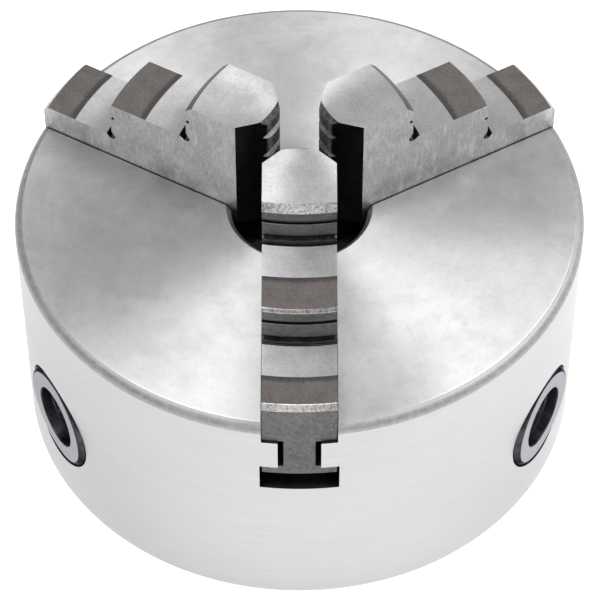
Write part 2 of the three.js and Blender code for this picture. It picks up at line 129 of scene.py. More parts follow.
def turn(o, deg):
    o.data.transform(Matrix.Rotation(rad(deg), 4, "Z"))
    return o


def move(o, x=0, y=0, z=0):
    o.data.transform(Matrix.Translation((x, y, z)))
    return o


def drop(o):
    me = o.data
    bpy.data.objects.remove(o)
    bpy.data.meshes.remove(me)


def bake(o):
    """The object's modifiers become its mesh."""
    bpy.context.view_layer.update()
    dg = bpy.context.evaluated_depsgraph_get()
    me = bpy.data.meshes.new_from_object(o.evaluated_get(dg))
    old = o.data
    o.modifiers.clear()
    o.data = me
    bpy.data.meshes.remove(old)
    return o


def boolean(o, others, op):
    for c in others:
        m = o.modifiers.new("b", "BOOLEAN")
        m.operation = op
        m.solver = "EXACT"
        m.object = c
        bake(o)
        drop(c)
    return o


def cut(o, *others):
    return boolean(o, others, "DIFFERENCE")


def join(o, *others):
    return boolean(o, others, "UNION")


def common(o, *others):
    return boolean(o, others, "INTERSECT")


def bevel(o, width, segs=2, angle=30):
    m = o.modifiers.new("bev", "BEVEL")
    m.limit_method = "ANGLE"
    m.angle_limit = rad(angle)
    m.width = width
    m.segments = segs
    m.use_clamp_overlap = True
    m.loop_slide = True
    m.miter_outer = "MITER_ARC"
    return bake(o)


def tidy(o, dist=0.004, flat=0.3):
    bm = bmesh.new()
    bm.from_mesh(o.data)
    bmesh.ops.remove_doubles(bm, verts=bm.verts, dist=dist)
    bmesh.ops.dissolve_degenerate(bm, edges=bm.edges, dist=dist)
    bmesh.ops.dissolve_limit(
        bm, angle_limit=rad(flat), verts=bm.verts, edges=bm.edges,
        use_dissolve_boundaries=False, delimit={"MATERIAL"},
    )
    bm.to_mesh(o.data)
    bm.free()
    return o


def smooth(o, deg=24):
    """Smooth shading with sharp edges, kept on large flats by area-weighted normals."""
    me = o.data
    me.shade_smooth()
    bm = bmesh.new()
    bm.from_mesh(me)
    lim = rad(deg)
    plane = set()
    for f in bm.faces:
        if f.calc_area() > 1.2 and (abs(f.normal.z) > 0.99999 or (len(f.verts) > 8 and abs(f.normal.y) > 0.99999)):
            plane.add(f)
    for e in bm.edges:
        e.smooth = not (len(e.link_faces) == 2 and (e.calc_face_angle(0) > lim or ((e.link_faces[0] in plane) != (e.link_faces[1] in plane))))
    bm.to_mesh(me)
    bm.free()
    m = o.modifiers.new("wn", "WEIGHTED_NORMAL")
    m.keep_sharp = True
    m.weight = 80
    m.mode = "FACE_AREA_WITH_ANGLE"
    return bake(o)


def to_metres(o):
    o.data.transform(Matrix.Scale(MM, 4))
    return o


def paint(o, mats, pick):
    """mats: list of materials; pick(centre in mm, normal) gives the index. Run before to_metres."""
    o.data.materials.clear()
    for m in mats:
        o.data.materials.append(m)
    for f in o.data.polygons:
        f.material_index = pick(f.center, f.normal)
    return o


# ------------------------------------------------------------------ materials
class Nodes:
    def __init__(self, name):
        self.m = bpy.data.materials.new(name)
        self.m.use_nodes = True
        self.t = self.m.node_tree
        self.b = self.t.nodes["Principled BSDF"]
        self.tc = self.t.nodes.new("ShaderNodeTexCoord")
        self.obj = self.tc.outputs["Object"]

    def n(self, kind, **kw):
        x = self.t.nodes.new(kind)
        for k, v in kw.items():
            setattr(x, k, v)
        return x

    def link(self, a, b):
        self.t.links.new(a, b)

    def math(self, op, a, b=None, c=None, clamp=False):
        x = self.n("ShaderNodeMath", operation=op, use_clamp=clamp)
        for i, v in enumerate((a, b, c)):
            if v is None:
                continue
            if isinstance(v, (int, float)):
                x.inputs[i].default_value = v
            else:
                self.link(v, x.inputs[i])
        return x.outputs[0]

    def mapping(self, scale, src=None, loc=(0, 0, 0), rot=(0, 0, 0)):
        x = self.n("ShaderNodeMapping")
        x.inputs["Scale"].default_value = scale
        x.inputs["Location"].default_value = loc
        x.inputs["Rotation"].default_value = rot
        self.link(src or self.obj, x.inputs["Vector"])
        return x.outputs[0]

    def noise(self, scale, detail=3, rough=0.5, vec=None, dims="3D"):
        x = self.n("ShaderNodeTexNoise", noise_dimensions=dims)
        x.inputs["Scale"].default_value = scale
        x.inputs["Detail"].default_value = detail
        x.inputs["Roughness"].default_value = rough
        self.link(vec or self.obj, x.inputs["Vector"])
        return x.outputs["Fac"]

    def ramp(self, fac, stops, interp="LINEAR"):
        x = self.n("ShaderNodeValToRGB")
        r = x.color_ramp
        r.interpolation = interp
        while len(r.elements) > 1:
            r.elements.remove(r.elements[-1])
        for i, (p, c) in enumerate(stops):
            c = (c, c, c) if isinstance(c, (int, float)) else c
            e = r.elements[0] if i == 0 else r.elements.new(p)
            e.position = p
            e.color = (*c, 1)
        self.link(fac, x.inputs[0])
        return x.outputs[0]

    def mix(self, fac, a, b, mode="MIX"):
        x = self.n("ShaderNodeMix", data_type="RGBA", blend_type=mode)
        for sock, v in ((x.inputs[0], fac), (x.inputs[6], a), (x.inputs[7], b)):
            if isinstance(v, (int, float)):
                sock.default_value = v if sock is x.inputs[0] else (v, v, v, 1)
            elif isinstance(v, tuple):
                sock.default_value = (*v, 1)
            else:
                self.link(v, sock)
        return x.outputs[2]

    def remap(self, v, a, b, c, d):
        x = self.n("ShaderNodeMapRange")
        x.clamp = True
        self.link(v, x.inputs["Value"])
        for k, q in zip(("From Min", "From Max", "To Min", "To Max"), (a, b, c, d)):
            x.inputs[k].default_value = q
        return x.outputs[0]

    def bump(self, height, strength, distance, normal=None):
        x = self.n("ShaderNodeBump")
        x.inputs["Strength"].default_value = strength
        x.inputs["Distance"].default_value = distance
        self.link(height, x.inputs["Height"])
        if normal:
            self.link(normal, x.inputs["Normal"])
        return x.outputs[0]

    def radius(self):
        s = self.n("ShaderNodeSeparateXYZ")
        self.link(self.obj, s.inputs[0])
        v = self.n("ShaderNodeCombineXYZ")
        self.link(s.outputs[0], v.inputs[0])
        self.link(s.outputs[1], v.inputs[1])
        l = self.n("ShaderNodeVectorMath", operation="LENGTH")
        self.link(v.outputs[0], l.inputs[0])
        return l.outputs["Value"], s

    def axis_tangent(self, axis="Z"):
        x = self.n("ShaderNodeTangent", direction_type="RADIAL", axis=axis)
        return x.outputs[0]

    def set(self, **kw):
        for k, v in kw.items():
            self.b.inputs[k.replace("_", " ")].default_value = v


def face_steel():
    """Turned front face: fine rings about the axis, spreading the light across them."""
    k = Nodes("turned_face")
    r, s = k.radius()
    v = k.n("ShaderNodeCombineXYZ")
    k.link(k.math("MULTIPLY", r, 1000.0), v.inputs[0])
    fine = k.noise(7.0, 2, 0.7, v.outputs[0])
    broad = k.noise(0.5, 2, 0.5, v.outputs[0])
    mott = k.noise(420.0, 3, 0.55)
    cloud = k.noise(45.0, 3, 0.5)
    rings = k.math("ADD", k.math("MULTIPLY", fine, 0.75), k.math("MULTIPLY", broad, 0.25))
    col = k.ramp(rings, [(0.3, (0.75, 0.748, 0.752)), (0.7, (0.86, 0.858, 0.86))])
    col = k.mix(k.remap(cloud, 0.42, 0.66, 0.0, 0.42), col, (0.55, 0.548, 0.55))
    wisp = k.noise(1.0, 5, 0.7, k.mapping((130, 130, 60), None, (0.7, 0.4, 0), (0, 0, -0.4)))
    col = k.mix(k.remap(wisp, 0.50, 0.66, 0.0, 0.45), col, (0.60, 0.598, 0.60))
    pale = k.noise(85.0, 4, 0.6, None)
    col = k.mix(k.remap(pale, 0.52, 0.68, 0.0, 0.4), col, (0.93, 0.928, 0.93))
    speck = k.noise(900.0, 3, 0.6)
    col = k.mix(k.remap(speck, 0.50, 0.75, 0.0, 0.16), col, (0.45, 0.45, 0.45))
    smear = k.noise(1.0, 4, 0.65, k.mapping((70, 28, 60), None, (0.3, 0.1, 0), (0, 0, 0.5)))
    col = k.mix(k.remap(smear, 0.50, 0.72, 0.0, 0.22), col, (0.52, 0.515, 0.52))
    k.link(col, k.b.inputs["Base Color"])
    k.link(k.remap(k.math("ADD", k.math("MULTIPLY", rings, 0.6), k.math("MULTIPLY", mott, 0.4)), 0.3, 0.7, 0.44, 0.54), k.b.inputs["Roughness"])
    k.link(k.bump(fine, 0.05, 0.00002), k.b.inputs["Normal"])
    k.set(Metallic=1.0, Anisotropic=0.8, Anisotropic_Rotation=0.25)
    k.link(k.axis_tangent("Z"), k.b.inputs["Tangent"])
    return k.m


def wall_steel(name="turned_wall", base=(0.50, 0.50, 0.504), low=(0.43, 0.43, 0.434), rough=(0.34, 0.44), aniso=0.25):
    k = Nodes(name)
    r, s = k.radius()
    v = k.n("ShaderNodeCombineXYZ")
    k.link(k.math("MULTIPLY", s.outputs[2], 1000.0), v.inputs[2])
    fine = k.noise(6.0, 2, 0.7, v.outputs[0])
    streak = k.noise(1.0, 3, 0.6, k.mapping((60, 60, 1400)))
    cloud = k.noise(30.0, 2, 0.5)
    c = k.math("ADD", k.math("MULTIPLY", fine, 0.5), k.math("MULTIPLY", streak, 0.5))
    col = k.ramp(c, [(0.32, low), (0.68, base)])
    k.link(col, k.b.inputs["Base Color"])
    k.link(k.remap(k.math("ADD", k.math("MULTIPLY", c, 0.6), k.math("MULTIPLY", cloud, 0.4)), 0.35, 0.65, *rough), k.b.inputs["Roughness"])
    k.link(k.bump(fine, 0.06, 0.00002), k.b.inputs["Normal"])
    k.set(Metallic=1.0, Anisotropic=aniso, Anisotropic_Rotation=0.25)
    k.link(k.axis_tangent("Z"), k.b.inputs["Tangent"])
    return k.m


def plain_steel(name, light, dark, rough, scale=(400, 400, 400), bump=0.1, bump_d=0.00003, metallic=1.0, grain=None, spots=0.0, spot_col=(0.05, 0.045, 0.04), aniso=0.0):
    """Steel with a directional or granular grain; scale stretches the grain in object space."""
    k = Nodes(name)
    g = k.noise(1.0, 4, 0.6, k.mapping(scale))
    cloud = k.noise(90.0, 3, 0.5)
    c = k.math("ADD", k.math("MULTIPLY", g, 0.7), k.math("MULTIPLY", cloud, 0.3))
    col = k.ramp(c, [(0.35, dark), (0.65, light)])
    if spots:
        sp = k.noise(grain or 1600.0, 2, 0.6)
        col = k.mix(k.remap(sp, 0.62 - spots * 0.1, 0.70, 0.0, spots), col, spot_col)
    k.link(col, k.b.inputs["Base Color"])
    k.link(k.remap(c, 0.35, 0.65, *rough), k.b.inputs["Roughness"])
    k.link(k.bump(g, bump, bump_d), k.b.inputs["Normal"])
    k.set(Metallic=metallic)
    if aniso:
        k.set(Anisotropic=aniso)
    return k.m


M_FACE = face_steel()
M_WALL = wall_steel()
M_RIM = plain_steel("rim_round", (0.42, 0.42, 0.425), (0.30, 0.30, 0.305), (0.5, 0.62), (900, 900, 900), 0.2, 0.00003)
# Painted shade: the bore is painted near black for the shade inside it.
M_BORE = plain_steel("bore_painted_shade", (0.035, 0.035, 0.036), (0.02, 0.02, 0.02), (0.35, 0.5), (200, 200, 2500))
# Painted shade: the milled slots, cavity and holes of the body are painted dark for the shade inside them.
M_SLOT = plain_steel("slot_milled_painted_shade", (0.10, 0.10, 0.105), (0.05, 0.05, 0.05), (0.35, 0.5), (900, 900, 900))
M_REAR = face_steel()
M_REAR.name = "rear_turned"


def arc_tangent(k):
    """Direction of the turning lines about the chuck axis, which is the object's own Z axis."""
    s = k.n("ShaderNodeSeparateXYZ")
    k.link(k.obj, s.inputs[0])
    v = k.n("ShaderNodeCombineXYZ")
    k.link(k.math("MULTIPLY", s.outputs[1], -1.0), v.inputs[0])
    k.link(s.outputs[0], v.inputs[1])
    t = k.n("ShaderNodeVectorTransform", vector_type="VECTOR", convert_from="OBJECT", convert_to="WORLD")
    k.link(v.outputs[0], t.inputs[0])
    u = k.n("ShaderNodeVectorMath", operation="NORMALIZE")
    k.link(t.outputs[0], u.inputs[0])
    return u.outputs[0]


def jaw_ground():
    k = Nodes("jaw_ground")
    r, s = k.radius()
    v = k.n("ShaderNodeCombineXYZ")
    k.link(k.math("MULTIPLY", r, 1000.0), v.inputs[0])
    ring = k.noise(5.0, 2, 0.6, v.outputs[0])
    g = k.noise(1500.0, 3, 0.6)
    cloud = k.noise(160.0, 3, 0.5)
    c = k.math("ADD", k.math("MULTIPLY", g, 0.3), k.math("ADD", k.math("MULTIPLY", cloud, 0.3), k.math("MULTIPLY", ring, 0.4)))
    k.link(k.ramp(c, [(0.38, (0.62, 0.615, 0.63)), (0.62, (0.88, 0.875, 0.885))]), k.b.inputs["Base Color"])
    k.link(k.remap(c, 0.35, 0.65, 0.36, 0.46), k.b.inputs["Roughness"])
    k.link(k.bump(ring, 0.04, 0.00002), k.b.inputs["Normal"])
    k.set(Metallic=1.0, Anisotropic=0.85, Anisotropic_Rotation=0.25)
    k.link(arc_tangent(k), k.b.inputs["Tangent"])
    return k.m


def jaw_raw():
    """Oxidised lands left as heat treated, with a band of painted shade beside the ground flats."""
    k = Nodes("jaw_unground")
    r, s = k.radius()
    g = k.noise(1400.0, 4, 0.6)
    cloud = k.noise(260.0, 3, 0.5)
    c = k.math("ADD", k.math("MULTIPLY", g, 0.5), k.math("MULTIPLY", cloud, 0.5))
    col = k.ramp(c, [(0.34, (0.085, 0.076, 0.071)), (0.66, (0.135, 0.120, 0.112))])
    # Painted shade: a dark band on the lands along their edge with the ground flats.
    sh = k.n("ShaderNodeCombineXYZ")
    k.link(k.math("ADD", s.outputs[0], 0.0196), sh.inputs[0])
    k.link(s.outputs[1], sh.inputs[1])
    length = k.n("ShaderNodeVectorMath", operation="LENGTH")
    k.link(sh.outputs[0], length.inputs[0])
    q = k.math("SUBTRACT", length.outputs["Value"], 0.0544)
    outer = k.math("SUBTRACT", r, 0.0536)
    pick_land = k.math("GREATER_THAN", s.outputs[2], 0.069)
    near = k.math("ADD", k.math("MULTIPLY", q, pick_land), k.math("MULTIPLY", outer, k.math("SUBTRACT", 1.0, pick_land)))
    rough_edge = k.math("MULTIPLY", k.math("SUBTRACT", k.noise(1100.0, 3, 0.6), 0.5), 0.0012)
    painted_shade_band = k.remap(k.math("ADD", near, rough_edge), 0.0009, 0.0018, 0.85, 0.0)
    col = k.mix(painted_shade_band, col, (0.03, 0.028, 0.027))
    sp = k.noise(3600.0, 2, 0.7)
    col = k.mix(k.remap(sp, 0.52, 0.74, 0.0, 0.4), col, (0.23, 0.215, 0.205))
    pit = k.noise(1700.0, 3, 0.7)
    col = k.mix(k.remap(pit, 0.50, 0.70, 0.0, 0.45), col, (0.05, 0.045, 0.043))
    k.link(col, k.b.inputs["Base Color"])
    k.link(k.remap(c, 0.35, 0.65, 0.55, 0.70), k.b.inputs["Roughness"])
    k.link(k.bump(g, 0.25, 0.00004), k.b.inputs["Normal"])
    k.set(Metallic=0.15, Specular_IOR_Level=0.3)
    return k.m


def jaw_side():
    """Sides ground across the jaw: short upright lines, dark flecks and dark blotches that are stronger towards the
    bottom.
    """
    k = Nodes("jaw_side")
    s = k.n("ShaderNodeSeparateXYZ")
    k.link(k.obj, s.inputs[0])
    up = k.noise(1.0, 4, 0.65, k.mapping((3200, 3200, 420)))
    grain = k.noise(2200.0, 3, 0.6)
    cloud = k.noise(150.0, 4, 0.6)
    c = k.math("ADD", k.math("MULTIPLY", up, 0.45), k.math("ADD", k.math("MULTIPLY", grain, 0.3), k.math("MULTIPLY", cloud, 0.25)))
    col = k.ramp(c, [(0.36, (0.22, 0.218, 0.220)), (0.5, (0.34, 0.337, 0.338)), (0.64, (0.47, 0.467, 0.468))])
    # Dark blotches, weighted to be stronger towards the bottom of the sides.
    dark_blotch = k.noise(110.0, 5, 0.7)
    low = k.remap(s.outputs[2], 0.056, 0.068, 0.8, 0.22)
    col = k.mix(k.math("MULTIPLY", k.remap(dark_blotch, 0.44, 0.66, 0.0, 1.0), low), col, (0.12, 0.115, 0.115))
    bright = k.noise(1.0, 3, 0.6, k.mapping((420, 420, 130), None, (0.7, 0.2, 0.1)))
    col = k.mix(k.remap(bright, 0.54, 0.72, 0.0, 0.35), col, (0.60, 0.595, 0.60))
    fleck = k.noise(1900.0, 2, 0.6)
    col = k.mix(k.remap(fleck, 0.66, 0.72, 0.0, 0.55), col, (0.08, 0.075, 0.075))
    k.link(col, k.b.inputs["Base Color"])
    k.link(k.remap(c, 0.35, 0.65, 0.34, 0.48), k.b.inputs["Roughness"])
    k.link(k.bump(c, 0.3, 0.00004), k.b.inputs["Normal"])
    k.set(Metallic=1.0)
    return k.m


J_GROUND = jaw_ground()
J_RAW = jaw_raw()
J_SIDE = jaw_side()
J_WALL = plain_steel("jaw_wall", (0.16, 0.16, 0.16), (0.085, 0.085, 0.085), (0.34, 0.5), (1600, 900, 1600), 0.2, 0.00003, 1.0, 2400.0, 0.35, (0.26, 0.26, 0.26))
# Chamfer steel; on the front jaw's top chamfer it is the lit copy, and J_SHADE below is the shaded copy for the side
# jaws.
J_EDGE = plain_steel("jaw_chamfer", (0.56, 0.55, 0.54), (0.15, 0.148, 0.145), (0.32, 0.44), (1700, 1700, 1700), 0.5, 0.00008, 1.0, 2600.0, 0.6, (0.06, 0.055, 0.05))
# A thin dark line along the top edges of the jaw sides.
J_DARK_EDGE = plain_steel("jaw_chipped_edge", (0.34, 0.335, 0.33), (0.03, 0.028, 0.027), (0.4, 0.55), (1300, 1300, 1300), 0.5, 0.00008, 0.6, 1500.0, 0.7, (0.02, 0.019, 0.018))
# Painted shade: a darker copy of the chamfer steel for the side jaws, which catch less light than the front jaw.
J_SHADE = plain_steel("jaw_chamfer_dark", (0.075, 0.074, 0.073), (0.035, 0.034, 0.033), (0.4, 0.55), (1500, 1500, 1500), 0.3, 0.00005, 0.7, 2600.0, 0.4, (0.2, 0.195, 0.19))
# Painted shade: the crown bevels round the nose tip, which face away from the light, painted near black with almost no
# reflection.
J_CROWN = plain_steel("jaw_crown", (0.13, 0.128, 0.125), (0.02, 0.019, 0.018), (0.5, 0.65), (1700, 1700, 1700), 0.4, 0.00006, 0.0, 2400.0, 0.5, (0.3, 0.295, 0.29))
J_CROWN.node_tree.nodes["Principled BSDF"].inputs["Specular IOR Level"].default_value = 0.1
# Painted highlight: bright edge strips on the chamfers, standing in for light caught along the jaw edges.
J_PAINTED_GLINT = plain_steel("jaw_burnished_edge", (0.85, 0.84, 0.83), (0.35, 0.345, 0.34), (0.3, 0.42), (1300, 1300, 1300), 0.5, 0.00006, 1.0, 1900.0, 0.8, (0.14, 0.135, 0.13))
J_END = plain_steel("jaw_end", (0.145, 0.144, 0.142), (0.06, 0.06, 0.058), (0.42, 0.6), (900, 900, 900), 0.3, 0.00006, 1.0, 3000.0, 0.5, (0.30, 0.295, 0.29))
J_UNDER = plain_steel("jaw_under", (0.12, 0.12, 0.12), (0.06, 0.06, 0.06), (0.4, 0.55), (500, 500, 500))
# Painted shade: the relief grooves and hooked grooves at the step walls are painted near black for the shade inside
# them.
J_RELIEF = plain_steel("jaw_relief", (0.055, 0.055, 0.055), (0.03, 0.03, 0.03), (0.35, 0.5), (500, 500, 500))
# Painted shade: the slanted nose cheeks sit in deep shade between the jaws and are painted near black.
J_CHEEK = plain_steel("jaw_cheek", (0.026, 0.026, 0.027), (0.014, 0.014, 0.014), (0.35, 0.5), (500, 500, 900))
J_GRIP = plain_steel("jaw_grip", (0.25, 0.248, 0.245), (0.06, 0.059, 0.058), (0.42, 0.58), (1500, 1500, 1500), 0.4, 0.00006, 1.0, 2400.0, 0.5, (0.04, 0.04, 0.04))
P_FACE = plain_steel("pinion_face", (0.34, 0.336, 0.37), (0.22, 0.218, 0.245), (0.36, 0.5), (1300, 1300, 1300), 0.2)
# Painted shade: the pinion's sides, chamfer and teeth are painted near black for the dark crescent of shade round the
# head in its bore; highlights come from the lamps.
P_SIDE = plain_steel("pinion_side", (0.065, 0.064, 0.07), (0.03, 0.03, 0.033), (0.16, 0.24), (500, 500, 500), 0.1)
P_SIDE.node_tree.nodes["Principled BSDF"].inputs["Specular Tint"].default_value = (0.35, 0.35, 0.36, 1)
# Painted shade: the square socket and its lead-in are painted near black for the shade inside them.
P_HOLE = plain_steel("pinion_socket", (0.05, 0.05, 0.056), (0.022, 0.022, 0.025), (0.3, 0.42), (500, 500, 500), 0.1)
S_BLACK = plain_steel("screw_black", (0.055, 0.055, 0.06), (0.03, 0.03, 0.032), (0.35, 0.5), (900, 900, 900), 0.2, 0.00003, 0.6)
C_STEEL = face_steel()
C_STEEL.name = "cover_turned"
SCROLL = plain_steel("scroll_machined", (0.42, 0.42, 0.42), (0.26, 0.26, 0.26), (0.34, 0.48), (300, 300, 1500), 0.12)

# ------------------------------------------------------------------ body
BODY_SEGS = 288


def build_body():
    rim = []
    for i in range(11):
        a = (i / 10) * math.pi / 2
        rim.append((BODY_R - RIM_ROUND + RIM_ROUND * math.cos(a), BODY_H - RIM_ROUND + RIM_ROUND * math.sin(a)))
    prof = [
        (BORE_R, COVER_SEAT_Z), (HUB_R, COVER_SEAT_Z), (HUB_R, CAVITY_TOP), (CAVITY_R, CAVITY_TOP),
        (CAVITY_R, COVER_SEAT_Z), (REGISTER_R, COVER_SEAT_Z), (REGISTER_R, 0.6), (REGISTER_R + 0.15, 0.3), (REGISTER_R + 0.45, 0.0),
        (BODY_R - 0.45, 0.0), (BODY_R - 0.13, 0.13), (BODY_R, 0.45),
        *rim,
        (BORE_R + 1.15, BODY_H), (BORE_R + 0.95, BODY_H - 0.08), (BORE_R + 0.08, BODY_H - 0.95), (BORE_R, BODY_H - 1.2),
    ]
    body = lathe("chuck_body_visual", prof, BODY_SEGS)
    for angle in JAW_ANGLES:
        h, n, l, c = SLOT_W / 2, SLOT_NECK / 2, SLOT_LOW / 2, 0.07
        t = [(-h - c - 1, BODY_H + 1), (-h - c, BODY_H), (-h, BODY_H - c), (-h, SLOT_LEDGE), (-n - c, SLOT_LEDGE), (-n, SLOT_LEDGE - c), (-n, SLOT_LIP), (-l, SLOT_LIP), (-l, SLOT_FLOOR)]
        t += [(-y, z) for y, z in reversed(t)]
        cut(body, turn(prism_x("slot", t, 0.0, BODY_R + 6), angle))
        x, y = 54 * math.cos(rad(angle)), 54 * math.sin(rad(angle))
        cut(body, move(lathe("bolt", [(0, -1), (5.6, -1), (4.6, 0.0), (4.0, 0.6), (4.0, 16), (0, 18)], 64), x, y))
    for angle in PINION_ANGLES:
        p = lathe("pin_bore", [(0, 40), (9.3, 40), (9.3, 49), (PINION_BORE, 49), (PINION_BORE, BODY_R + 6), (0, BODY_R + 6)], 128, "X")
        cut(body, turn(move(p, z=PINION_Z), angle))
        x, y = 56 * math.cos(rad(angle)), 56 * math.sin(rad(angle))
        cut(body, move(lathe("ret", [(0, -1), (3.6, -1), (2.5, 0.35), (2.5, 16.5), (0, 16.5)], 40), x, y))

    def pick(c, n):
        r = math.hypot(c.x, c.y)
        if n.z > 0.985 and c.z > BODY_H - 0.05:
            return 0
        if c.z > BODY_H - RIM_ROUND - 0.01 and r > BODY_R - RIM_ROUND - 0.1 and n.z > 0.04 and (n.x * c.x + n.y * c.y) > 0:
            return 2
        if r > BODY_R - 0.6 and abs(n.z) < 0.3 and (n.x * c.x + n.y * c.y) > 0.9 * r:
            return 1
        if c.z < 0.7 and n.z < -0.3:
            return 5
        if r < BORE_R + 1.3 and c.z > BODY_H - 1.3 and n.z > 0.2:
            return 2
        # Painted shade inside the bore.
        if r < BORE_R + 0.2:
            return 3
        # Painted shade on the slots, cavity and holes.
        return 4

    paint(body, [M_FACE, M_WALL, M_RIM, M_BORE, M_SLOT, M_REAR], pick)
    smooth(body, 20)
    to_metres(body)
    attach(body, "body")
    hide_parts("chuck_body")
    return body


build_body()


# ------------------------------------------------------------------ jaws
NOSE = [(5.95, 0.0), (5.98, 0.8), (6.06, 1.6), (6.20, 2.25), (6.45, 2.78), (6.70, 3.04), (11.33, 7.85)]
NOSE_TOP = [(7.10, 0.0), (7.13, 1.0), (7.22, 2.1), (7.34, 2.95), (7.52, 3.70), (7.75, 4.13), (11.33, 7.85)]


def plan(width, shift=0.0, nose=NOSE):
    """Plan outline of a jaw: blunt nose, slanted cheeks, straight sides."""
    w = width / 2
    pts = []
    for i, (x, y) in enumerate(nose):
        if y < w - 1e-6:
            pts.append((x + shift, y))
        else:
            xa, ya = nose[i - 1]
            pts.append((xa + (x - xa) * (w - ya) / (y - ya) + shift, w))
            break
    else:
        pts.append((nose[-1][0] + (w - 7.85) + shift, w))
    right = pts + [(JAW_END + 45, w)]
    return right + [(x, -y) for x, y in reversed(right) if y > 0]


G = 0.12  # the unground lands stand this much proud
SHIFT = 19.6  # the inner wall is ground to the outer wall's radius


def foot(rw, z, reach):
    """Round relief where a step wall meets the flat below it, from the flat up to the wall."""
    return [
        (rw + reach, z), (rw + reach - 0.3, z - 0.16), (rw + 0.8, z - 0.62), (rw + 0.35, z - 0.93), (rw - 0.2, z - 0.95),
        (rw - 0.68, z - 0.66), (rw - 0.92, z - 0.15), (rw - 0.82, z + 0.28), (rw - 0.42, z + 0.6), (rw - 0.2, z + 1.05), (rw, z + 1.5),
    ]


def hook(rw, low, high):
    """Narrow hooked groove across a step wall."""
    return [(rw, low), (rw - 0.15, low + 0.08), (rw - 0.75, low + 0.1), (rw - 0.95, low + 0.35), (rw - 0.9, low + 0.65), (rw - 0.2, high - 0.1), (rw, high)]


def outer_profile():
    p = [(0, JAW_BLOCK), (JAW_END, JAW_BLOCK), (JAW_END, STEP3 - 1.25), (JAW_END - 0.12, STEP3 - 1.1), (JAW_END - 0.95, STEP3 - 0.12), (JAW_END - 1.1, STEP3)]
    p += [(53.72, STEP3), (53.6, STEP3 - G)]
    p += foot(WALL23, STEP3 - G, 1.35)
    p += hook(WALL23, 69.7, 70.95)
    p += [(WALL23, STEP2 - 0.85), (WALL23 - 0.1, STEP2 - 0.65), (WALL23 - 0.42, STEP2 - 0.08), (WALL23 - 0.6, STEP2), (WALL23 - 0.6, STEP1 + 1), (0, STEP1 + 1)]
    return p


def inner_profile():
    w = WALL12 + SHIFT
    p = [(0, JAW_BLOCK - 2), (130, JAW_BLOCK - 2), (130, STEP2), (34.92 + SHIFT, STEP2), (34.8 + SHIFT, STEP2 - G)]
    p += foot(w, STEP2 - G, 1.75)
    p += hook(w, 78.8, 80.2)
    p += [(w, STEP1 - 1.5), (w - 0.1, STEP1 - 1.35), (w - 1.4, STEP1 - 0.1), (w - 1.6, STEP1), (0, STEP1)]
    return p


def frustum(name, low, high, z0, z1):
    """A solid between two outlines of the same length at two heights."""
    n = len(low)
    verts = [(x, y, z0) for x, y in low] + [(x, y, z1) for x, y in high]
    faces = [list(range(n))[::-1], [n + i for i in range(n)]]
    faces += [[i, (i + 1) % n, n + (i + 1) % n, n + i] for i in range(n)]
    return fix(make(name, verts, faces))


